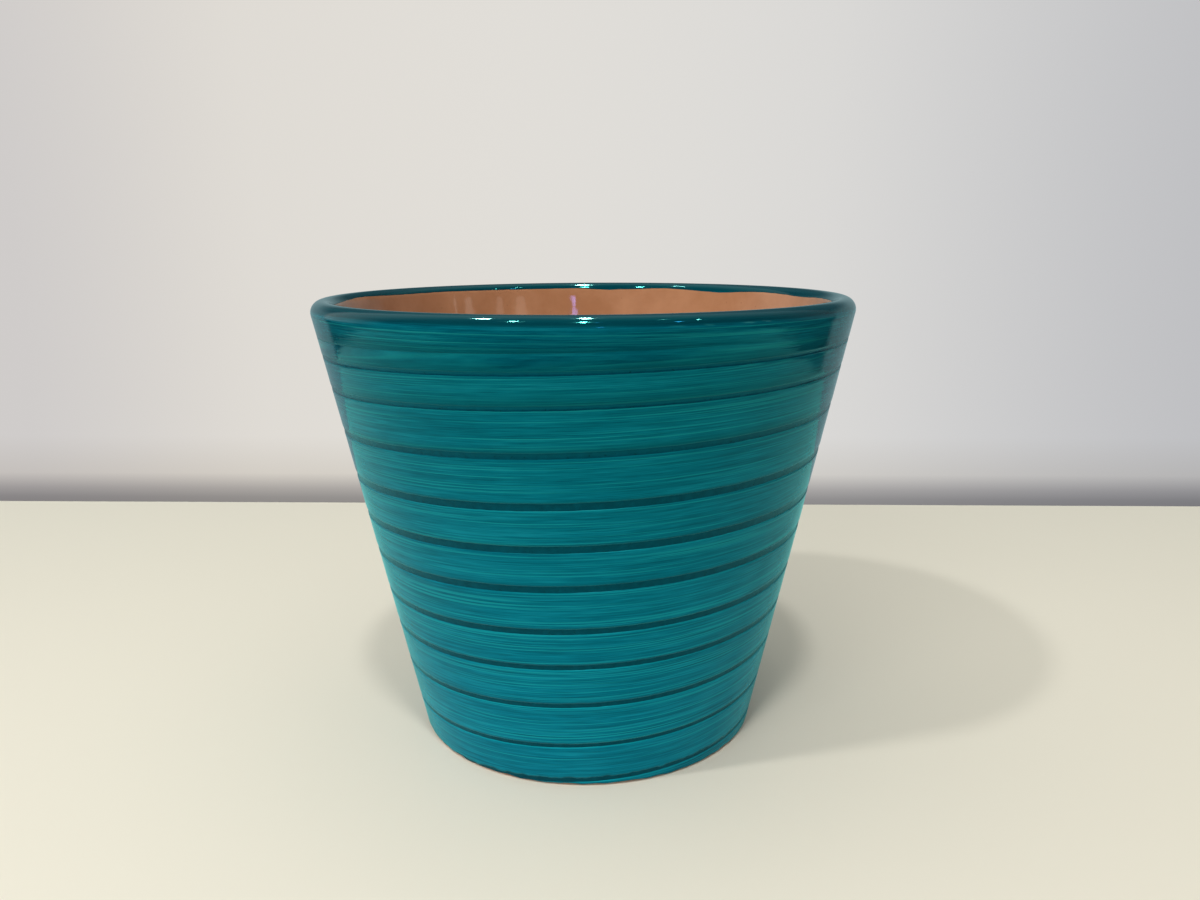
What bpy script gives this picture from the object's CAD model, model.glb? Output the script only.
"""The glazed cachepot's surfaces: brushed teal coat, sunken climbing line, clear lining and bare clay foot.

Shapes are worked out in millimetres and become metres when a mesh is made. +Z is up, the front is -Y, and
turns of the line are counted from the front towards +X.
"""

import math

import bpy
import numpy as np
from mathutils import Matrix, Vector


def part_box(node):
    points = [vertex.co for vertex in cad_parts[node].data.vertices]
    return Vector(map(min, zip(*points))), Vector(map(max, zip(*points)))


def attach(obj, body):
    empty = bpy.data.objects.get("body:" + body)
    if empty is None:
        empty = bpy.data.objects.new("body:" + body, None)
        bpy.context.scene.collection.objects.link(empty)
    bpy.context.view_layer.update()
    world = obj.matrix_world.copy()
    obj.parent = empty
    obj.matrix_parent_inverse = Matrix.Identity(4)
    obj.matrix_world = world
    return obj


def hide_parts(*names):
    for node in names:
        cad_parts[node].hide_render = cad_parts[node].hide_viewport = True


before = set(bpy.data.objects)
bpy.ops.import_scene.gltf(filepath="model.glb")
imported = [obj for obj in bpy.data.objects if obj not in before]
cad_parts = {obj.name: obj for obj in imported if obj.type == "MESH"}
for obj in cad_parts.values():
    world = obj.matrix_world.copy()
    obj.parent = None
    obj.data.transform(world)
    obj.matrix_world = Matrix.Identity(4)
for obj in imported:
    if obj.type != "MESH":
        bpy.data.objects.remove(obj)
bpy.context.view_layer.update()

MM = 0.001
PER_METRE = 1000

# Clay and glaze, in millimetres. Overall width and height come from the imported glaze.
RIM_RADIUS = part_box("outer_glaze")[1].x / MM
POT_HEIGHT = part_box("outer_glaze")[1].z / MM
CLAY_FLOOR_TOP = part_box("inner_glaze")[0].z / MM
FOOT_RADIUS = 52.1
HALF_WALL = 2.95
GLAZE = 0.4
INNER_CORNER = 9
BARE_FOOT = 0.6

# The section of the clay, from the outer foot over the rim to the middle of the floor
RIM_CENTRE = (RIM_RADIUS - HALF_WALL - GLAZE, POT_HEIGHT - HALF_WALL - GLAZE)
TO_RIM = math.hypot(RIM_CENTRE[0] - FOOT_RADIUS, RIM_CENTRE[1])
LEAN = math.atan2(RIM_CENTRE[0] - FOOT_RADIUS, RIM_CENTRE[1]) + math.asin(HALF_WALL / TO_RIM)
SIDE_END = math.sqrt(TO_RIM ** 2 - HALF_WALL ** 2)
RIM_END = SIDE_END + math.pi * HALF_WALL
CREST = SIDE_END + (math.pi / 2 + LEAN) * HALF_WALL
INNER_TOP = RIM_CENTRE[1] + HALF_WALL * math.sin(LEAN)
INNER_BOTTOM = CLAY_FLOOR_TOP + INNER_CORNER * (1 - math.sin(LEAN))
WALL_END = RIM_END + (INNER_TOP - INNER_BOTTOM) / math.cos(LEAN)
CORNER_END = WALL_END + (math.pi / 2 - LEAN) * INNER_CORNER

# The climbing line: height of its middle at the front as shares of the pot's height, once a turn
LINE_HEIGHT_SHARES = np.array([
    0.016, 0.106, 0.207, 0.299, 0.382, 0.477, 0.562, 0.65, 0.751, 0.84, 0.902, 0.938])
SIDE_RISE = 0.8
# Its width in millimetres after so many turns: it starts at the foot and fades out under the rim
LINE_WIDTHS = [(-0.15, 1.6), (0, 1.5), (0.1, 1.25), (1, 1.2), (2, 1.4), (3, 1.5), (4, 1.7), (5, 1.9),
               (6, 2.0), (7, 2.0), (8, 1.6), (9, 1.2), (10, 1.05), (10.3, 0.8), (10.62, 0)]
LINE_START = LINE_WIDTHS[0][0]
FADED_WIDTH = 0.6
# Its edges wander so much, in waves of these lengths, and the upper one more in the first half turn
LOW_EDGE_WAVES = 0.03
LOW_EDGE_LENGTHS = (2.5, 14)
HIGH_EDGE_WAVES = 0.035
HIGH_EDGE_LENGTHS = (3, 16)
FOOT_EDGE_WAVES = 0.3
RAGGED_TURN = 0.55
# It lies this far off the clay, hollow across, and shallower on the upper turns
LINE_LIFT = 0.25
HOLLOW = 0.04
HOLLOW_WAVES = 0.6
SHALLOWER = 0.11
SHALLOW_FROM, SHALLOW_TO = 90, 108
# The coat's ribbon runs past both ends of the line, and the gathered glaze fades out above its last turn
FIRST_TURN, LAST_TURN = -1.4, 12.1
SHADE_FADES, SHADE_GONE = 11.0, 11.45

# The teal: swollen just above each line, slightly uneven, rounded at its edges, and even near the rim
SWELL = 0.022
SWELL_HEIGHT = 0.9
SWELL_REACH = 1.5
UNEVENNESS = 0.012
COAT_EDGE = 0.3
EVEN_FROM, EVEN_TO = SIDE_END - 16, SIDE_END - 2
# Near the rim the brush marks leave the line and follow the rim instead
LEVEL_FROM, LEVEL_TO = SIDE_END - 10, SIDE_END - 2.5
RIM_STROKE = SIDE_END - 6
FOOT_WAVES = 0.22

# The clear lining: faint marks of the fingers that shaped the clay, which fade in below the rim
FINGER_MARKS = 0.035
FINGER_SPACING = 8.5
FINGER_WANDER = 0.8
FINGERS_FROM, FINGERS_TO = RIM_END + 12, RIM_END + 40
LINING_LEVELS = RIM_END + 3
CALM_MIDDLE = 10

# The ragged edge of the teal inside the rim: degrees from the front, and millimetres down from the crest
LIP_DROPS = [(-180, 3.8), (-167, 3.9), (-155, 3.9), (-136, 3.7), (-121, 3.8), (-104, 3.1), (-89, 3.8),
             (-60, 3.4), (-30, 3.7), (0, 3.3), (30, 3.8), (60, 3.5), (95, 3.8), (106, 4.4), (116, 4.0),
             (124, 3.8), (131, 4.2), (138, 4.9), (145, 4.4), (157, 3.6), (163, 4.1), (175, 4.5),
             (180, 3.8)]
# It is averaged over so many degrees to each side and has small waves, and both coats thin towards it
LIP_AVERAGED = 3
LIP_WAVES = 0.03
LIP_LIFT = 0.34
LIP_ROUNDING = 0.35
LIP_THINS = 3

# Patterns of the finishes, in millimetres: a streak's length round the pot and its width across the stroke
BROAD_STREAKS = (60, 2.0)
STREAKS = (24, 0.42)
FINE_STREAKS = (8, 0.22)
HAIRLINES = (70, 0.36)
# The streaks change altogether over this height
STREAKS_CHANGE = 11.8
SPECK_SPACING = 22
SPECK_CORE, SPECK_EDGE = 0.264, 0.484
LINE_CLOUDS = 2
LINE_GRAIN = 0.625
LINING_MOTTLE = 16.667
LINING_SWELL = 8.333
GRAIN_SPACING = 5
GRAIN_CORE, GRAIN_EDGE = 0.15, 0.35
CLAY_MOTTLE = 12.5
CLAY_GRAIN = 0.4545
# How deep the relief of each finish is
BRUSH_RELIEF = 0.01
PIT_RELIEF = 0.03
LINING_RELIEF = 0.08
CLAY_RELIEF = 0.05
# Distances from the line within which the teal is pale under it and dull beside it
PALE_FROM, PALE_TO = 0.2, 0.5
DULL_FROM, DULL_TO = 0.1, 0.45
# Heights between which gathered glaze reaches further, the coat grows thicker, and the rim turns dark
GATHER_FROM, GATHER_TO = 90, 112
THICKEN_FROM, THICKEN_TO = 15, 125
DARK_RIM_FROM, DARK_RIM_TO = 130, 131
# Turns over which the line's upper part melts into the teal, and then all of it
MELT_FROM, MELT_TO = 7.4, 8.9
VANISH_FROM, VANISH_TO = 9.2, 10.2
# The colour that the teal glaze gives to its mirror image
GLOSS_TINT = "#50fff0"

# The floor's edge, in millimetres, anticlockwise from the back left: the glaze mirrors the floor up to it
FLOOR_EDGE = [(-445, 260.4), (-445, -60), (-330, -170), (-248, -211), (-206, -231), (0, -288), (200, -240),
              (386, -115), (386, 215.8)]
# How much deeper the backdrop lies for each millimetre towards -X
BACKDROP_SLANT = 0.0528

# The photograph's camera: its place in millimetres, its pitch, yaw and roll in degrees, and its lens
CAMERA_PLACE = (0, -292.65, 150.19)
CAMERA_ANGLES = (12.632, 0.888, -0.339)
SENSOR = 36
LENS = 28.59

# Soft lamps: degrees from the front towards +X, degrees up, metres away, metres across, power
LAMPS = {
    "key": (-56, 51, 1.6, 0.11, 6.3),
    "fill": (-30, 20, 1.3, 0.8, 5.8),
    "top": (0, 66.5, 2.6, 0.22, 16.5),
    "low_side": (58, 3, 1.3, 0.4, 0.6),
}
# What only the gloss shows: degrees from the front, degrees up, metres wide and tall, brightness, colour
GLINT_DISTANCE = 1.5
GLINTS = {
    "rim_left": (-107, 67, 0.055, 0.09, 330, "#ffffff"),
    "rim_near_left": (-46, 62, 0.05, 0.12, 330, "#ffffff"),
    "rim_middle": (178, 82, 0.055, 0.34, 300, "#ffffff"),
    "rim_front": (-1, 61, 0.045, 0.22, 300, "#ffffff"),
    "rim_right": (61, 66, 0.025, 0.06, 100, "#ffffff"),
    "rim_far_right": (65, 54, 0.02, 0.06, 120, "#ffffff"),
    "cool_front": (7, 57, 0.03, 0.10, 14, "#7fb0ff"),
    "cool_right": (47, 47, 0.05, 0.14, 40, "#7fb0ff"),
    "violet_slit": (6, 20, 0.075, 0.10, 11, "#b4a4ff"),
    "mouth_far": (76, 15, 0.05, 0.30, 1.6, "#ffe9dc"),
    "mouth_wide": (67, 15, 0.13, 0.30, 1.6, "#ffe9dc"),
    "mouth_near": (49, 16, 0.10, 0.30, 1.2, "#ffe9dc"),
    "mouth_inner": (36, 17, 0.16, 0.30, 1.2, "#ffe9dc"),
}

# Grids: columns in a turn, and rows across each surface
COLUMNS = 400
COAT_ROWS = 14
LINE_ROWS = 7
RIM_ROWS = 26
RIM_BACK_ROWS = 12
LINING_ROWS = (8, 36, 16, 24)
LINING_BACK_ROWS = (8, 5)
# A distance that counts as no line nearby, and one within which points merge, in millimetres
FAR_FROM_LINE = 20
WELD = 1e-5
# Edges that turn by more degrees than this stay sharp
SHARP_ANGLE = 50


def section_point(along, lift):
    """Radius and height of points `lift` off the clay, `along` millimetres up its outside and over the rim.

    The section is a straight side, the rim's half circle, the straight inside, the rounded inner corner and
    the flat floor. Each part adds its own displacement, and the direction off the clay turns on the two arcs.
    """
    along, lift = np.broadcast_arrays(along, lift)
    side = np.clip(along, None, SIDE_END)
    over = np.clip((along - SIDE_END) / HALF_WALL, 0, math.pi)
    down = np.clip(along - RIM_END, 0, WALL_END - RIM_END)
    bend = np.clip((along - WALL_END) / INNER_CORNER, 0, math.pi / 2 - LEAN)
    flat = np.clip(along - CORNER_END, 0, None)
    rim_angle = over - LEAN
    inner_angle = math.pi - LEAN
    off = rim_angle - bend
    radius = (FOOT_RADIUS + side * math.sin(LEAN) + HALF_WALL * (np.cos(rim_angle) - math.cos(LEAN))
              - down * math.sin(LEAN)
              - INNER_CORNER * (np.cos(inner_angle - bend) - math.cos(inner_angle)) - flat)
    height = (side * math.cos(LEAN) + HALF_WALL * (np.sin(rim_angle) + math.sin(LEAN))
              - down * math.cos(LEAN)
              - INNER_CORNER * (np.sin(inner_angle - bend) - math.sin(inner_angle)))
    return radius + lift * np.cos(off), height + lift * np.sin(off)


FLOOR_END = CORNER_END + float(section_point(CORNER_END, 0)[0])


def turned_points(column, along, lift):
    """Points of a grid: the section turned about the pot's axis to each column's angle."""
    angle = 2 * math.pi * (column % COLUMNS) / COLUMNS
    radius, height = section_point(along, lift)
    return np.stack([radius * np.sin(angle), -radius * np.cos(angle), height], axis=-1)


def waves(seed, count, turn_waves, up_waves, column, along):
    """A seeded sum of sines round the pot and up its side, between about -1 and 1."""
    chance = np.random.default_rng(seed)
    angle = 2 * math.pi * column / COLUMNS
    total = 0
    numbers = chance.integers(*turn_waves, count)
    rises = chance.uniform(-up_waves, up_waves, count)
    phases = chance.uniform(0, 2 * math.pi, count)
    for number, rise, phase in zip(numbers, rises, phases):
        total = total + np.sin(number * angle + rise * along + phase)
    return total / math.sqrt(count)


def line_waves(seed, count, shortest, longest, turn):
    """A seeded sum of sines along the climbing line, with wavelengths given in millimetres."""
    chance = np.random.default_rng(seed)
    distance = turn * 2 * math.pi * (FOOT_RADIUS + RIM_RADIUS) / 2
    total = 0
    lengths = chance.uniform(shortest, longest, count)
    phases = chance.uniform(0, 2 * math.pi, count)
    for length, phase in zip(lengths, phases):
        total = total + np.sin(2 * math.pi * distance / length + phase)
    return total / math.sqrt(count)


def line_height(turn):
    """Height of the line's middle: a smooth cubic through the heights at the front, straight beyond its ends.

    The line stands a little higher on the +X side and as much lower on the -X side.
    """
    heights = LINE_HEIGHT_SHARES * POT_HEIGHT
    last = len(heights) - 1
    index = np.clip(np.floor(turn), 0, last - 1).astype(int)
    before, low, high, after = [heights[np.clip(index + step, 0, last)] for step in (-1, 0, 1, 2)]
    start_rise = (high - before) / np.where(index > 0, 2, 1)
    end_rise = (after - low) / np.where(index + 2 <= last, 2, 1)
    across = high - low
    part = np.clip(turn - index, 0, 1)
    cubic = start_rise + end_rise - 2 * across
    square = 3 * across - 2 * start_rise - end_rise
    smooth = low + part * (start_rise + part * (square + part * cubic))
    first_rise = heights[1] - heights[0]
    last_rise = heights[-1] - heights[-2]
    beyond = np.minimum(turn, 0) * first_rise + np.maximum(turn - last, 0) * last_rise
    return smooth + beyond + SIDE_RISE * np.sin(2 * math.pi * turn)


def line_width(turn):
    """Width of the line, read between the given widths."""
    turns, widths = np.array(LINE_WIDTHS).T
    return np.interp(turn, turns, widths)


def foot_edge(column):
    """Where the coat ends above the foot: a slightly wavy ring."""
    return BARE_FOOT / math.cos(LEAN) + FOOT_WAVES * waves(3, 9, (5, 60), 0, column, 0)


def lip_edge(column):
    """Where the teal ends inside the rim: the given drops, averaged over a few degrees, with small waves."""
    degrees = (column / COLUMNS * 360 + 180) % 360 - 180
    angles, drops = np.array(LIP_DROPS).T
    shifts = np.linspace(-LIP_AVERAGED, LIP_AVERAGED, 2 * LIP_AVERAGED + 1)
    drop = sum(np.interp(degrees + shift, angles, drops, period=360) for shift in shifts) / len(shifts)
    drop = drop + LIP_WAVES * waves(5, 8, (20, 90), 0, column, 0)
    return CREST + drop * HALF_WALL / (HALF_WALL + GLAZE)


def line_edges(column):
    """Lower and upper edge of the line along the wall, kept between the foot and the round of the rim."""
    turn = column / COLUMNS
    middle = line_height(turn) / math.cos(LEAN)
    width = line_width(turn)
    shown = np.clip(width / FADED_WIDTH, 0, 1)
    at_foot = np.clip(1 - (turn - LINE_START) / RAGGED_TURN, 0, 1)
    ragged_low = LOW_EDGE_WAVES * line_waves(11, 14, *LOW_EDGE_LENGTHS, turn)
    ragged_high = (HIGH_EDGE_WAVES + FOOT_EDGE_WAVES * at_foot) * line_waves(12, 14, *HIGH_EDGE_LENGTHS, turn)
    low = middle - width / 2 + shown * ragged_low
    high = middle + width / 2 + shown * ragged_high
    foot = foot_edge(column)
    return np.clip(low, foot, SIDE_END), np.clip(high, foot, SIDE_END), shown


def grid_faces(columns, rows, closed):
    """Quads between neighbouring columns and rows of points that are numbered column by column."""
    column = np.arange(columns - 1)[:, None] * rows
    row = np.arange(rows if closed else rows - 1)
    here, above = column + row, column + (row + 1) % rows
    return np.stack([here, here + rows, above + rows, above], axis=-1)


def welded(points, faces):
    """Merge points that coincide and drop what folds flat; a quad with one side gone becomes a triangle."""
    keys = np.round(points / WELD).astype(np.int64)
    _, first, number = np.unique(keys, axis=0, return_index=True, return_inverse=True)
    faces = number.reshape(-1)[faces]
    same = faces == np.roll(faces, -1, axis=1)
    folded = (faces[:, 0] == faces[:, 2]) | (faces[:, 1] == faces[:, 3])
    quads = faces[~folded & (same.sum(axis=1) == 0)]
    narrow = ~folded & (same.sum(axis=1) == 1)
    triangles = faces[narrow][~same[narrow]].reshape(-1, 3)
    used = np.unique(np.concatenate([quads.ravel(), triangles.ravel()]))
    renumber = np.zeros(len(first), dtype=int)
    renumber[used] = np.arange(len(used))
    return first[used], renumber[quads], renumber[triangles]


def make_piece(name, points, faces, attributes, material, node):
    """A mesh from points in millimetres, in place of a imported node, with its values at each point."""
    kept, quads, triangles = welded(points, faces)
    mesh = bpy.data.meshes.new(name)
    mesh.from_pydata((points[kept] * MM).tolist(), [], quads.tolist() + triangles.tolist())
    for label, values in attributes.items():
        layer = mesh.attributes.new(label, "FLOAT", "POINT")
        layer.data.foreach_set("value", values[kept].astype(np.float32))
    mesh.shade_smooth()
    mesh.set_sharp_from_angle(angle=math.radians(SHARP_ANGLE))
    mesh.materials.append(material)
    piece = bpy.data.objects.new(name, mesh)
    bpy.context.scene.collection.objects.link(piece)
    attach(piece, "root")
    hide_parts(node)
    return piece


def rounded_edge(distance, size):
    """Share of the full thickness at a distance from an edge: a quarter circle of the given size."""
    return np.sqrt(1 - (1 - np.clip(distance / size, 0, 1)) ** 2)


def smooth_step(value, start, end):
    """From 0 at the start to 1 at the end, without corners."""
    part = np.clip((value - start) / (end - start), 0, 1)
    return part * part * (3 - 2 * part)


def line_lift(along):
    """How far the line lies off the clay: sunken low down, and nearly level with the teal higher up."""
    return LINE_LIFT + SHALLOWER * smooth_step(along, SHALLOW_FROM, SHALLOW_TO)


def coat_lift(column, along, above, under):
    """Thickness of the teal: full between the lines, swollen just above each, rounded at its edges."""
    swell = SWELL * np.exp(-((above - SWELL_HEIGHT) / SWELL_REACH) ** 2)
    uneven = UNEVENNESS * waves(21, 24, (3, 30), 0.5, column, along)
    brushed = 1 - smooth_step(along, EVEN_FROM, EVEN_TO)
    full = GLAZE + brushed * (swell + uneven)
    groove = line_lift(along)
    return groove + (full - groove) * rounded_edge(above, COAT_EDGE) * rounded_edge(under, COAT_EDGE)


def brush_across(column, along):
    """The way across the brush marks: height above the line below, and plain height near the rim."""
    middle = line_height(column / COLUMNS) / math.cos(LEAN)
    to_rim = smooth_step(along, LEVEL_FROM, LEVEL_TO)
    return (1 - to_rim) * (along - middle) + to_rim * (along - RIM_STROKE)


def make_teal_coat(material):
    """The outer coat: one long ribbon between the turns of the line, and a shell over the rim.

    The ribbon's lower edge is the line's upper edge, and its upper edge is the line's lower edge one turn on.
    Its outer rows lie close together at both edges, and two inner points close its section on the clay. Where
    the line fades out the ribbon joins itself, so the walls along that seam are left away. The shell's rows
    go from the end of the straight side over the rim to the ragged lip, and back along the clay.
    """
    column = np.arange(math.floor(FIRST_TURN * COLUMNS), math.ceil(LAST_TURN * COLUMNS) + 1)[:, None]
    foot = foot_edge(column)
    _, low, line_below = line_edges(column)
    high, _, line_above = line_edges(column + COLUMNS)
    share = (1 - np.cos(math.pi * np.linspace(0, 1, COAT_ROWS))) / 2
    along = low + share * (high - low)
    edge_below = np.where(low <= foot, 1, line_below)
    edge_above = np.where(high >= SIDE_END, 0, np.where(high <= foot, 1, line_above))
    above = along - low + (1 - edge_below) * FAR_FROM_LINE
    shade_fades = smooth_step(column / COLUMNS, SHADE_FADES, SHADE_GONE)
    above_shade = along - low + shade_fades * FAR_FROM_LINE
    under = high - along + (1 - edge_above) * FAR_FROM_LINE
    lift = coat_lift(column, along, above, under)
    along = np.concatenate([along, high, low], axis=1)
    lift = np.concatenate([lift, 0 * high, 0 * low], axis=1)
    rows = COAT_ROWS + 2
    ribbon = turned_points(column, along, lift).reshape(-1, 3)
    faces = grid_faces(len(column), rows, closed=True)
    open_above = (edge_above[:, 0] == 0)
    open_below = (edge_below[:, 0] == 0)
    wanted = np.ones(faces.shape[:2], dtype=bool)
    wanted[:, COAT_ROWS - 1] = ~(open_above[:-1] & open_above[1:])
    wanted[:, COAT_ROWS + 1] = ~(open_below[:-1] & open_below[1:])
    ribbon_faces = faces[wanted]

    ring = np.arange(COLUMNS + 1)[:, None]
    lip = lip_edge(ring)
    out = np.sin(math.pi / 2 * np.linspace(0, 1, RIM_ROWS))
    rim_along = SIDE_END + out * (lip - SIDE_END)
    rim_lift = LIP_LIFT + (GLAZE - LIP_LIFT) * rounded_edge(lip - rim_along, LIP_ROUNDING)
    back = np.linspace(1, 0, RIM_BACK_ROWS)
    shell_along = np.concatenate([rim_along, SIDE_END + back * (lip - SIDE_END)], axis=1)
    shell_lift = np.concatenate([rim_lift, np.zeros((len(ring), len(back)))], axis=1)
    shell = turned_points(ring, shell_along, shell_lift).reshape(-1, 3)
    shell_faces = grid_faces(len(ring), RIM_ROWS + len(back), closed=False).reshape(-1, 4) + len(ribbon)

    inner = np.full((len(column), 2), float(FAR_FROM_LINE))
    rim_far = np.full(shell_along.size, float(FAR_FROM_LINE))
    above_line = np.minimum(np.concatenate([above_shade, inner], axis=1), FAR_FROM_LINE)
    under_line = np.minimum(np.concatenate([under, inner], axis=1), FAR_FROM_LINE)
    ribbon_across = brush_across(column, along)
    attributes = {
        "brush_across": np.concatenate([ribbon_across.ravel(), (shell_along - RIM_STROKE).ravel()]),
        "above_line": np.concatenate([above_line.ravel(), rim_far]),
        "under_line": np.concatenate([under_line.ravel(), rim_far]),
    }
    points = np.concatenate([ribbon, shell])
    faces = np.concatenate([ribbon_faces, shell_faces])
    return make_piece("teal_coat", points, faces, attributes, material, "outer_glaze")


def make_climbing_line(material):
    """The sunken line: a ribbon between its two edges, whose hollow is half a sine wave across.

    The hollow's depth is uneven along the line, and two inner points close the section on the clay.
    """
    column = np.arange(math.floor(2 * LINE_START * COLUMNS), math.ceil(LAST_TURN * COLUMNS) + 1)[:, None]
    low, high, _ = line_edges(column)
    share = (1 - np.cos(math.pi * np.linspace(0, 1, LINE_ROWS))) / 2
    along = low + share * (high - low)
    uneven = 1 + HOLLOW_WAVES * waves(31, 20, (60, 200), 3, column, along)
    hollow = HOLLOW * np.sin(math.pi * share) * uneven
    lift = line_lift(along) - hollow * np.clip((high - low) / FADED_WIDTH, 0, 1)
    points = turned_points(column, np.concatenate([along, high, low], axis=1),
                           np.concatenate([lift, 0 * high, 0 * low], axis=1)).reshape(-1, 3)
    faces = grid_faces(len(column), LINE_ROWS + 2, closed=True).reshape(-1, 4)
    across = np.broadcast_to(np.concatenate([share, [1, 0]]), (len(column), LINE_ROWS + 2))
    turns = np.broadcast_to(column / COLUMNS, across.shape)
    attributes = {"line_across": across.ravel(), "line_turn": turns.ravel()}
    return make_piece("climbing_line", points, faces, attributes, material, "band_line")


def make_clear_lining(material):
    """The clear coat inside: from the teal's ragged edge down the wall and round the corner to the middle.

    It thins towards the ragged edge, and waves across the wall as the fingers left the clay. Its back lies on
    the clay.
    """
    ring = np.arange(COLUMNS + 1)[:, None]
    lip = lip_edge(ring)
    ends = (lip, LINING_LEVELS, WALL_END, CORNER_END, FLOOR_END)
    along = np.concatenate([start + np.linspace(0, 1, count, endpoint=False) * (end - start) + 0 * ring
                            for start, end, count in zip(ends, ends[1:], LINING_ROWS)]
                           + [FLOOR_END + 0.0 * ring], axis=1)
    thin_at_lip = (GLAZE - LIP_LIFT) * (1 - smooth_step(along, lip, lip + LIP_THINS))
    at_middle = smooth_step(FLOOR_END - along, 0, CALM_MIDDLE)
    wander = FINGER_WANDER * waves(41, 5, (1, 4), 0, ring, 0)
    finger_marks = FINGER_MARKS * np.sin(2 * math.pi * along / FINGER_SPACING + wander)
    low_down = smooth_step(along, FINGERS_FROM, FINGERS_TO)
    lift = GLAZE - thin_at_lip + low_down * at_middle * finger_marks
    corner_rows, lip_rows = LINING_BACK_ROWS
    back = np.concatenate([[FLOOR_END], np.linspace(CORNER_END, WALL_END, corner_rows), [RIM_END]])
    back_along = np.concatenate([np.broadcast_to(back, (len(ring), len(back))),
                                 RIM_END + np.linspace(1 / lip_rows, 1, lip_rows) * (lip - RIM_END)], axis=1)
    points = turned_points(ring, np.concatenate([along, back_along], axis=1),
                           np.concatenate([lift, 0 * back_along], axis=1)).reshape(-1, 3)
    faces = grid_faces(len(ring), along.shape[1] + back_along.shape[1], closed=True).reshape(-1, 4)
    return make_piece("clear_lining", points, faces, {}, material, "inner_glaze")


def linear(colour):
    """A hex sRGB colour as linear red, green, blue and full alpha."""
    parts = [int(colour[i:i + 2], 16) / 255 for i in (1, 3, 5)]
    return tuple(p / 12.92 if p <= 0.04045 else ((p + 0.055) / 1.055) ** 2.4 for p in parts) + (1.0,)


def new_material(name):
    """An empty node material and its tree."""
    material = bpy.data.materials.new(name)
    material.use_nodes = True
    tree = material.node_tree
    tree.nodes.clear()
    return material, tree


def add(tree, kind, values, stops=(), **settings):
    """Add a node: settings are its properties, and values go to its inputs as constants or as links.

    Stops are a ramp's places from 0 to 1 with their hex colours.
    """
    made = tree.nodes.new(kind)
    for label, value in settings.items():
        setattr(made, label, value)
    for key, value in values.items():
        if isinstance(value, bpy.types.NodeSocket):
            tree.links.new(value, made.inputs[key])
        else:
            made.inputs[key].default_value = value
    if stops:
        elements = made.color_ramp.elements
        elements.remove(elements[1])
        elements[0].position = stops[0][0]
        elements[0].color = linear(stops[0][1])
        for position, colour in stops[1:]:
            elements.new(position).color = linear(colour)
    return made


def object_millimetres(tree):
    """The piece's own coordinates in millimetres."""
    place = add(tree, "ShaderNodeTexCoord", {}).outputs["Object"]
    return add(tree, "ShaderNodeVectorMath", {0: place, 1: (PER_METRE,) * 3}, operation="MULTIPLY").outputs[0]


def brush_marks(tree, xyz, across, size, detail, start):
    """Streaks laid by the brush: noise stretched to a length round the pot and a width across the stroke.

    The fourth coordinate climbs with the height, so that no two turns of the stroke look alike.
    """
    length, width = size
    parts = add(tree, "ShaderNodeSeparateXYZ", {0: xyz}).outputs
    x = add(tree, "ShaderNodeMath", {0: parts[0], 1: 1 / length}, operation="MULTIPLY").outputs[0]
    y = add(tree, "ShaderNodeMath", {0: parts[1], 1: 1 / length}, operation="MULTIPLY").outputs[0]
    z = add(tree, "ShaderNodeMath", {0: across, 1: 1 / width}, operation="MULTIPLY").outputs[0]
    w = add(tree, "ShaderNodeMath", {0: parts[2], 1: 1 / STREAKS_CHANGE, 2: start},
            operation="MULTIPLY_ADD").outputs[0]
    at = add(tree, "ShaderNodeCombineXYZ", {0: x, 1: y, 2: z}).outputs[0]
    return add(tree, "ShaderNodeTexNoise", {
        "Vector": at, "W": w, "Scale": 1, "Detail": detail, "Roughness": 0.55},
        noise_dimensions="4D").outputs["Fac"]


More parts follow.
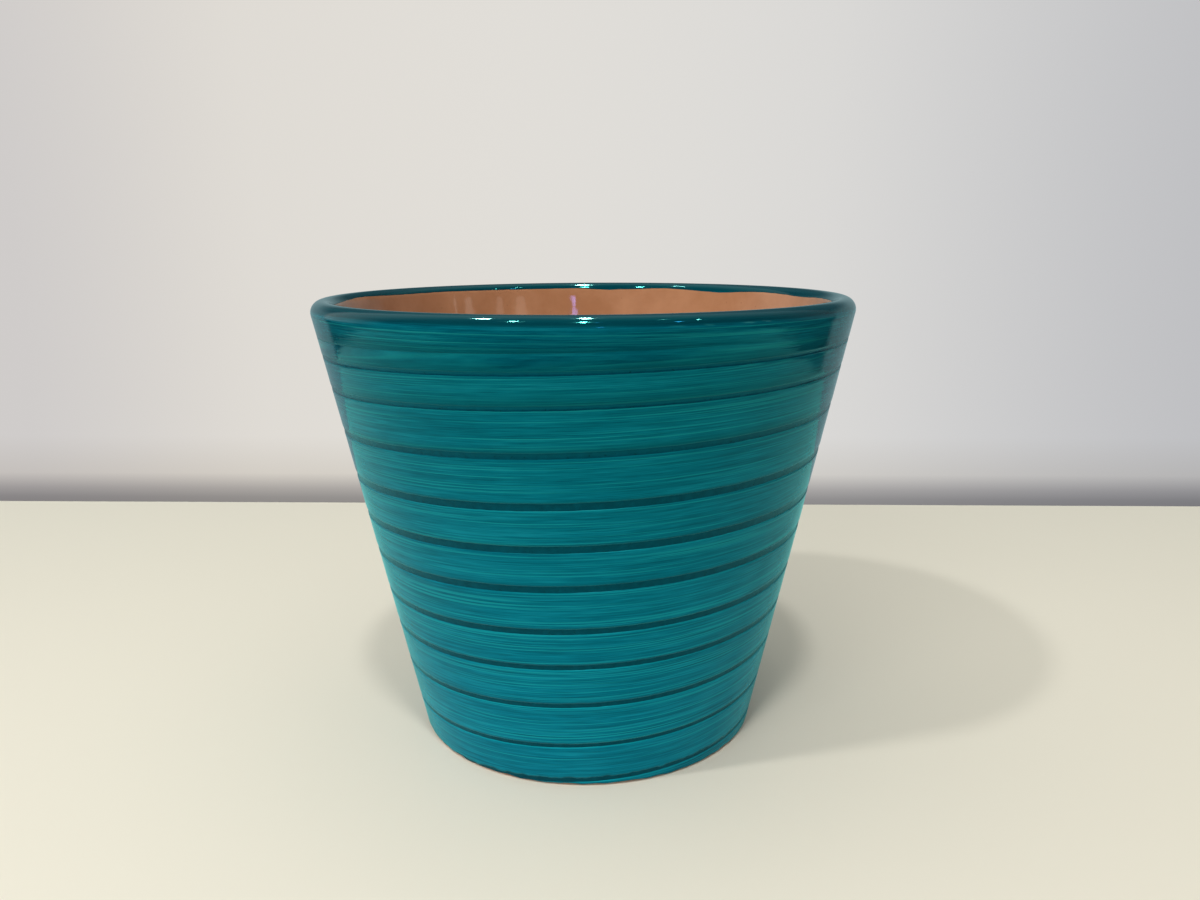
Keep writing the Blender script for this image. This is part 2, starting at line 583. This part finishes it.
def teal_glaze():
    """Transparent coloured glaze over terracotta, brushed on a turning wheel and fired glossy.

    The eye sees deep teal with fine lighter and darker streaks along the stroke, pale hairlines where the
    brush left little glaze, a pale edge under each turn of the line and darker glaze gathered just above it.
    The coat is thickest and darkest over the rim, and thinner and brighter towards the foot. Its mirror image
    is glossy and takes the glaze's own colour, and only the rounded edges along the line are duller.
    """
    material, tree = new_material("brushed_teal_glaze")
    xyz = object_millimetres(tree)
    across = add(tree, "ShaderNodeAttribute", {}, attribute_name="brush_across").outputs["Fac"]
    above = add(tree, "ShaderNodeAttribute", {}, attribute_name="above_line").outputs["Fac"]
    under = add(tree, "ShaderNodeAttribute", {}, attribute_name="under_line").outputs["Fac"]
    height = add(tree, "ShaderNodeSeparateXYZ", {0: xyz}).outputs[2]

    broad = brush_marks(tree, xyz, across, BROAD_STREAKS, 2, 0)
    streaks = brush_marks(tree, xyz, across, STREAKS, 2, 40)
    fine = brush_marks(tree, xyz, across, FINE_STREAKS, 1, 80)
    tone = add(tree, "ShaderNodeMath", {0: broad, 1: 0.25}, operation="MULTIPLY").outputs[0]
    tone = add(tree, "ShaderNodeMath", {0: streaks, 1: 0.42, 2: tone}, operation="MULTIPLY_ADD").outputs[0]
    tone = add(tree, "ShaderNodeMath", {0: fine, 1: 0.33, 2: tone}, operation="MULTIPLY_ADD").outputs[0]
    teal = add(tree, "ShaderNodeValToRGB", {0: tone}, stops=[
        (0.38, "#00566f"), (0.50, "#006f89"), (0.64, "#0d8aa2")]).outputs[0]

    hairline = brush_marks(tree, xyz, across, HAIRLINES, 0, 120)
    hair = add(tree, "ShaderNodeMapRange", {0: hairline, 1: 0.58, 2: 0.70, 3: 0, 4: 0.75}).outputs[0]
    colour = add(tree, "ShaderNodeMix", {0: hair, 6: teal, 7: linear("#159aa6")}, data_type="RGBA").outputs[2]

    patchy = add(tree, "ShaderNodeMapRange", {0: broad, 1: 0.38, 2: 0.6, 3: 0.15, 4: 0.7}).outputs[0]
    pale_edge = add(tree, "ShaderNodeMapRange", {0: under, 1: PALE_FROM, 2: PALE_TO, 3: 1, 4: 0},
                    interpolation_type="SMOOTHSTEP").outputs[0]
    pale = add(tree, "ShaderNodeMath", {0: pale_edge, 1: patchy}, operation="MULTIPLY").outputs[0]
    colour = add(tree, "ShaderNodeMix", {0: pale, 6: colour, 7: linear("#0a8f9e")},
                 data_type="RGBA").outputs[2]

    reach = add(tree, "ShaderNodeMapRange", {
        0: height, 1: GATHER_FROM, 2: GATHER_TO, 3: 1.0, 4: 4.2}).outputs[0]
    ragged = add(tree, "ShaderNodeMath", {0: streaks, 1: 1.2, 2: 0.4}, operation="MULTIPLY_ADD").outputs[0]
    reach = add(tree, "ShaderNodeMath", {0: reach, 1: ragged}, operation="MULTIPLY").outputs[0]
    near = add(tree, "ShaderNodeMath", {0: above, 1: reach}, operation="DIVIDE").outputs[0]
    pooled = add(tree, "ShaderNodeMapRange", {0: near, 1: 0, 2: 1, 3: 0.6, 4: 0},
                 interpolation_type="SMOOTHSTEP").outputs[0]
    colour = add(tree, "ShaderNodeMix", {0: pooled, 6: colour, 7: linear("#004859")},
                 data_type="RGBA").outputs[2]

    thick = add(tree, "ShaderNodeMapRange", {
        0: height, 1: THICKEN_FROM, 2: THICKEN_TO, 3: 0, 4: 1}).outputs[0]
    darker = add(tree, "ShaderNodeMix", {0: thick, 6: (1, 1, 1, 1), 7: (1, 0.74, 0.65, 1)},
                 data_type="RGBA").outputs[2]
    colour = add(tree, "ShaderNodeMix", {0: 1, 6: colour, 7: darker},
                 data_type="RGBA", blend_type="MULTIPLY").outputs[2]
    over_rim = add(tree, "ShaderNodeMapRange", {
        0: height, 1: DARK_RIM_FROM, 2: DARK_RIM_TO, 3: 0, 4: 0.9},
        interpolation_type="SMOOTHSTEP").outputs[0]
    colour = add(tree, "ShaderNodeMix", {0: over_rim, 6: colour, 7: linear("#00343f")},
                 data_type="RGBA").outputs[2]

    speck = add(tree, "ShaderNodeTexVoronoi", {
        "Vector": xyz, "Scale": 1 / SPECK_SPACING}).outputs["Distance"]
    dot = add(tree, "ShaderNodeMapRange", {
        0: speck, 1: SPECK_CORE / SPECK_SPACING, 2: SPECK_EDGE / SPECK_SPACING, 3: 0.8, 4: 0}).outputs[0]
    colour = add(tree, "ShaderNodeMix", {0: dot, 6: colour, 7: linear("#0b2b30")},
                 data_type="RGBA").outputs[2]

    relief = add(tree, "ShaderNodeMath", {0: streaks, 1: fine}, operation="ADD").outputs[0]
    bump = add(tree, "ShaderNodeBump", {
        "Height": relief, "Distance": BRUSH_RELIEF * MM, "Strength": 1}).outputs[0]
    edge = add(tree, "ShaderNodeMath", {0: above, 1: under}, operation="MINIMUM").outputs[0]
    dull = add(tree, "ShaderNodeMapRange", {0: edge, 1: DULL_FROM, 2: DULL_TO, 3: 0.35, 4: 0.06}).outputs[0]
    shader = add(tree, "ShaderNodeBsdfPrincipled", {
        "Base Color": colour, "Roughness": dull, "IOR": 1.47, "Normal": bump,
        "Specular Tint": linear(GLOSS_TINT)})
    add(tree, "ShaderNodeOutputMaterial", {"Surface": shader.outputs[0]})
    return material


def line_glaze():
    """The same glaze where it ran together in a groove and pitted as it cooled.

    The eye sees a dark line, duller than the coat, with tiny holes along its lower half. On the upper turns
    it is dark along its lower edge and melts into the teal above.
    """
    material, tree = new_material("pitted_line_glaze")
    xyz = object_millimetres(tree)
    across = add(tree, "ShaderNodeAttribute", {}, attribute_name="line_across").outputs["Fac"]
    turn = add(tree, "ShaderNodeAttribute", {}, attribute_name="line_turn").outputs["Fac"]
    cloud = add(tree, "ShaderNodeTexNoise", {
        "Vector": xyz, "Scale": 1 / LINE_CLOUDS, "Detail": 3}).outputs["Fac"]
    dark = add(tree, "ShaderNodeValToRGB", {0: cloud}, stops=[
        (0.35, "#003649"), (0.7, "#004154")]).outputs[0]
    late = add(tree, "ShaderNodeMapRange", {0: turn, 1: MELT_FROM, 2: MELT_TO, 3: 0, 4: 0.6}).outputs[0]
    upper = add(tree, "ShaderNodeMapRange", {0: across, 1: 0.2, 2: 0.6, 3: 0.1, 4: 1},
                interpolation_type="SMOOTHSTEP").outputs[0]
    last = add(tree, "ShaderNodeMapRange", {
        0: turn, 1: VANISH_FROM, 2: VANISH_TO, 3: 0, 4: 0.6}).outputs[0]
    upper = add(tree, "ShaderNodeMath", {0: upper, 1: last}, operation="MAXIMUM").outputs[0]
    fade = add(tree, "ShaderNodeMath", {0: late, 1: upper}, operation="MULTIPLY").outputs[0]
    colour = add(tree, "ShaderNodeMix", {0: fade, 6: dark, 7: linear("#005666")}, data_type="RGBA").outputs[2]

    grain = add(tree, "ShaderNodeTexNoise", {
        "Vector": xyz, "Scale": 1 / LINE_GRAIN, "Detail": 2}).outputs["Fac"]
    hole = add(tree, "ShaderNodeMapRange", {0: grain, 1: 0.64, 2: 0.72, 3: 0, 4: 0.8}).outputs[0]
    lower = add(tree, "ShaderNodeMapRange", {0: across, 1: 0.45, 2: 0.7, 3: 1, 4: 0}).outputs[0]
    pits = add(tree, "ShaderNodeMath", {0: hole, 1: lower}, operation="MULTIPLY").outputs[0]
    colour = add(tree, "ShaderNodeMix", {0: pits, 6: colour, 7: linear("#01252d")},
                 data_type="RGBA").outputs[2]
    deep = add(tree, "ShaderNodeMath", {0: pits, 1: -1.5, 2: grain}, operation="MULTIPLY_ADD").outputs[0]
    bump = add(tree, "ShaderNodeBump", {
        "Height": deep, "Distance": PIT_RELIEF * MM, "Strength": 1}).outputs[0]
    shader = add(tree, "ShaderNodeBsdfPrincipled", {
        "Base Color": colour, "Roughness": 0.22, "IOR": 1.42, "Normal": bump,
        "Specular Tint": linear(GLOSS_TINT)})
    add(tree, "ShaderNodeOutputMaterial", {"Surface": shader.outputs[0]})
    return material


def clear_glaze():
    """Clear glossy glaze over terracotta: warm clay, slightly mottled, with a few darker grains."""
    material, tree = new_material("clear_glazed_terracotta")
    xyz = object_millimetres(tree)
    mottle = add(tree, "ShaderNodeTexNoise", {
        "Vector": xyz, "Scale": 1 / LINING_MOTTLE, "Detail": 4, "Roughness": 0.6}).outputs["Fac"]
    warm = add(tree, "ShaderNodeValToRGB", {0: mottle}, stops=[
        (0.35, "#b07b56"), (0.68, "#c18c67")]).outputs[0]
    grain = add(tree, "ShaderNodeTexVoronoi", {
        "Vector": xyz, "Scale": 1 / GRAIN_SPACING}).outputs["Distance"]
    dot = add(tree, "ShaderNodeMapRange", {
        0: grain, 1: GRAIN_CORE / GRAIN_SPACING, 2: GRAIN_EDGE / GRAIN_SPACING, 3: 0.4, 4: 0}).outputs[0]
    colour = add(tree, "ShaderNodeMix", {0: dot, 6: warm, 7: linear("#8a5c42")}, data_type="RGBA").outputs[2]
    swell = add(tree, "ShaderNodeTexNoise", {
        "Vector": xyz, "Scale": 1 / LINING_SWELL, "Detail": 2}).outputs["Fac"]
    bump = add(tree, "ShaderNodeBump", {
        "Height": swell, "Distance": LINING_RELIEF * MM, "Strength": 1}).outputs[0]
    shader = add(tree, "ShaderNodeBsdfPrincipled", {
        "Base Color": colour, "Roughness": 0.07, "IOR": 1.5, "Normal": bump})
    add(tree, "ShaderNodeOutputMaterial", {"Surface": shader.outputs[0]})
    return material


def bare_terracotta():
    """Unglazed fired earthenware: dry, matte, finely grained and slightly mottled."""
    material, tree = new_material("bare_terracotta")
    xyz = object_millimetres(tree)
    mottle = add(tree, "ShaderNodeTexNoise", {
        "Vector": xyz, "Scale": 1 / CLAY_MOTTLE, "Detail": 5}).outputs["Fac"]
    fired = add(tree, "ShaderNodeValToRGB", {0: mottle}, stops=[
        (0.35, "#a8663f"), (0.7, "#c98a62")]).outputs[0]
    grain = add(tree, "ShaderNodeTexNoise", {
        "Vector": xyz, "Scale": 1 / CLAY_GRAIN, "Detail": 3}).outputs["Fac"]
    bump = add(tree, "ShaderNodeBump", {
        "Height": grain, "Distance": CLAY_RELIEF * MM, "Strength": 0.8}).outputs[0]
    shader = add(tree, "ShaderNodeBsdfPrincipled", {
        "Base Color": fired, "Roughness": 0.85, "IOR": 1.5, "Normal": bump})
    add(tree, "ShaderNodeOutputMaterial", {"Surface": shader.outputs[0]})
    return material


def place_camera():
    """The photograph's view: 30 cm in front of the pot, 15 cm up, and looking down a little."""
    pitch, yaw, roll = (math.radians(angle) for angle in CAMERA_ANGLES)
    forward = Vector((math.sin(yaw) * math.cos(pitch), math.cos(yaw) * math.cos(pitch), -math.sin(pitch)))
    level = Vector((math.cos(yaw), -math.sin(yaw), 0))
    upright = level.cross(forward)
    right = math.cos(roll) * level + math.sin(roll) * upright
    up = -math.sin(roll) * level + math.cos(roll) * upright
    camera = bpy.data.objects.new("camera", bpy.data.cameras.new("camera"))
    camera.data.sensor_width = SENSOR
    camera.data.lens = LENS
    camera.data.clip_start = 0.01
    camera.matrix_world = Matrix.Translation(Vector(CAMERA_PLACE) * MM) @ Matrix(
        (right, up, -forward)).transposed().to_4x4()
    bpy.context.scene.collection.objects.link(camera)
    bpy.context.scene.camera = camera


def make_floor():
    """A pale floor, which the gloss shows cooler and darker."""
    mesh = bpy.data.meshes.new("floor")
    mesh.from_pydata([(x * MM, y * MM, 0) for x, y in FLOOR_EDGE], [], [range(len(FLOOR_EDGE))])
    material, tree = new_material("pale_laminate")
    mirrored = add(tree, "ShaderNodeLightPath", {}).outputs["Is Glossy Ray"]
    colour = add(tree, "ShaderNodeMix", {0: mirrored, 6: linear("#ebe5d4"), 7: linear("#82dad4")},
                 data_type="RGBA").outputs[2]
    shader = add(tree, "ShaderNodeBsdfPrincipled", {"Base Color": colour, "Roughness": 0.35, "IOR": 1.45})
    add(tree, "ShaderNodeOutputMaterial", {"Surface": shader.outputs[0]})
    mesh.materials.append(material)
    floor = bpy.data.objects.new("floor", mesh)
    bpy.context.scene.collection.objects.link(floor)


def backdrop_light(tree, parts, depth):
    """The backdrop's own light, which falls off to both sides, and the same with a soft shade at its foot.

    The shade follows the height of a direction over its depth, which is the same all along the foot.
    """
    sideways = add(tree, "ShaderNodeMapRange", {0: parts[0], 1: -0.5, 2: 0.55, 3: 0, 4: 1}).outputs[0]
    falloff = add(tree, "ShaderNodeValToRGB", {0: sideways}, stops=[
        (0, "#cbc8c8"), (0.18, "#e4dfd6"), (0.70, "#dfdedc"), (1, "#b8b9bd")])
    falloff.color_ramp.interpolation = "B_SPLINE"
    light = falloff.outputs[0]
    rise = add(tree, "ShaderNodeMath", {0: parts[2], 1: depth}, operation="DIVIDE").outputs[0]
    part = add(tree, "ShaderNodeMapRange", {0: rise, 1: -0.30, 2: -0.17, 3: 0, 4: 1}).outputs[0]
    shade = add(tree, "ShaderNodeValToRGB", {0: part}, stops=[
        (0.06, "#faf5eb"), (0.10, "#a1a0a2"), (0.17, "#aaa9ab"),
        (0.25, "#c4c2c3"), (0.38, "#f2f0ed"), (0.7, "#ffffff")]).outputs[0]
    shaded = add(tree, "ShaderNodeMix", {0: 1, 6: light, 7: shade}, data_type="RGBA",
                 blend_type="MULTIPLY").outputs[2]
    return light, shaded


def side_light(tree, parts, depth, to_right):
    """What lights the pot from the sides: pale beside the backdrop, dim in front and right, dark below."""
    dim = linear("#4c5052")
    beside = add(tree, "ShaderNodeMapRange", {0: depth, 1: -0.1, 2: 0.25, 3: 0, 4: 1}).outputs[0]
    sides = add(tree, "ShaderNodeMix", {0: beside, 6: dim, 7: linear("#d0cecb")},
                data_type="RGBA").outputs[2]
    sides = add(tree, "ShaderNodeMix", {0: to_right, 6: sides, 7: dim}, data_type="RGBA").outputs[2]
    below = add(tree, "ShaderNodeMapRange", {0: parts[2], 1: -0.10, 2: 0, 3: 1, 4: 0}).outputs[0]
    return add(tree, "ShaderNodeMix", {0: below, 6: sides, 7: linear("#25292b")},
               data_type="RGBA").outputs[2]


def light_world():
    """The world: what the camera sees is the backdrop's light all round, shaded at the backdrop's foot.

    The glaze and the light meet a cooler, darker backdrop that ends above the pot, dim sides, and a pale
    overhead light, which the gloss shows more weakly than it shines.
    """
    world = bpy.data.worlds.new("studio")
    bpy.context.scene.world = world
    world.use_nodes = True
    tree = world.node_tree
    tree.nodes.clear()
    way = add(tree, "ShaderNodeTexCoord", {}).outputs["Generated"]
    parts = add(tree, "ShaderNodeSeparateXYZ", {0: way}).outputs
    depth = add(tree, "ShaderNodeMath", {0: parts[0], 1: BACKDROP_SLANT, 2: parts[1]},
                operation="MULTIPLY_ADD").outputs[0]
    to_right = add(tree, "ShaderNodeMapRange", {0: parts[0], 1: 0.2, 2: 0.8, 3: 0, 4: 0.8}).outputs[0]
    seen = add(tree, "ShaderNodeLightPath", {}).outputs["Is Camera Ray"]
    mirrored = add(tree, "ShaderNodeLightPath", {}).outputs["Is Glossy Ray"]
    light, shaded = backdrop_light(tree, parts, depth)
    sides = side_light(tree, parts, depth, to_right)
    sides = add(tree, "ShaderNodeMix", {0: seen, 6: sides, 7: light}, data_type="RGBA").outputs[2]
    higher = add(tree, "ShaderNodeMapRange", {0: parts[2], 1: 0.18, 2: 0.34, 3: 0, 4: 0.7}).outputs[0]
    unseen = add(tree, "ShaderNodeMix", {0: higher, 6: linear("#8aa4a8"), 7: (0, 0, 0, 1)},
                 data_type="RGBA").outputs[2]
    behind = add(tree, "ShaderNodeMix", {0: seen, 6: unseen, 7: shaded}, data_type="RGBA").outputs[2]
    back = add(tree, "ShaderNodeMapRange", {0: depth, 1: 0.56, 2: 0.62, 3: 0, 4: 1}).outputs[0]
    round_about = add(tree, "ShaderNodeMix", {0: back, 6: sides, 7: behind}, data_type="RGBA").outputs[2]

    overhead = add(tree, "ShaderNodeMapRange", {0: parts[2], 1: 0.45, 2: 0.8, 3: 0, 4: 1},
                   interpolation_type="SMOOTHSTEP").outputs[0]
    dimmed = add(tree, "ShaderNodeMath", {0: to_right, 1: -0.8, 2: 1}, operation="MULTIPLY_ADD").outputs[0]
    overhead = add(tree, "ShaderNodeMath", {0: overhead, 1: dimmed}, operation="MULTIPLY").outputs[0]
    less = add(tree, "ShaderNodeMapRange", {0: depth, 1: -0.35, 2: 0.35, 3: -0.85, 4: -0.7}).outputs[0]
    kept = add(tree, "ShaderNodeMath", {0: mirrored, 1: less, 2: 1}, operation="MULTIPLY_ADD").outputs[0]
    overhead = add(tree, "ShaderNodeMath", {0: overhead, 1: kept}, operation="MULTIPLY").outputs[0]
    colour = add(tree, "ShaderNodeMix", {0: overhead, 6: round_about, 7: (0.88, 0.865, 0.83, 1)},
                 data_type="RGBA").outputs[2]
    background = add(tree, "ShaderNodeBackground", {"Color": colour, "Strength": 1.0})
    add(tree, "ShaderNodeOutputWorld", {"Surface": background.outputs[0]})


def add_lamp(name, azimuth, elevation, distance, wide, tall, power, colour="#ffffff"):
    """An oval lamp aimed at the pot's mouth, hidden from the camera."""
    data = bpy.data.lights.new(name, "AREA")
    data.shape = "ELLIPSE"
    data.size = wide
    data.size_y = tall
    data.energy = power
    data.color = linear(colour)[:3]
    lamp = bpy.data.objects.new(name, data)
    across, up = math.radians(azimuth), math.radians(elevation)
    way = Vector((math.sin(across) * math.cos(up), -math.cos(across) * math.cos(up), math.sin(up)))
    lamp.location = Vector((0, 0, POT_HEIGHT * MM)) + way * distance
    lamp.rotation_euler = way.to_track_quat("Z", "Y").to_euler()
    lamp.visible_camera = False
    bpy.context.scene.collection.objects.link(lamp)
    return lamp


def add_glint(name, azimuth, elevation, wide, tall, brightness, colour):
    """A lamp that only the gloss shows: small bright ones on the rim, and broad faint ones in the mouth."""
    power = brightness * math.pi * math.pi / 4 * wide * tall
    lamp = add_lamp(name, azimuth, elevation, GLINT_DISTANCE, wide, tall, power, colour)
    lamp.visible_diffuse = False


place_camera()
make_floor()
light_world()
for lamp_name, (azimuth, elevation, distance, size, power) in LAMPS.items():
    add_lamp(lamp_name, azimuth, elevation, distance, size, size, power).visible_glossy = False
for glint_name, glint in GLINTS.items():
    add_glint(glint_name, *glint)

make_teal_coat(teal_glaze())
make_climbing_line(line_glaze())
make_clear_lining(clear_glaze())
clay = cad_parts["clay_body"]
clay.data.materials.clear()
clay.data.materials.append(bare_terracotta())

bpy.context.scene.view_settings.view_transform = "Standard"
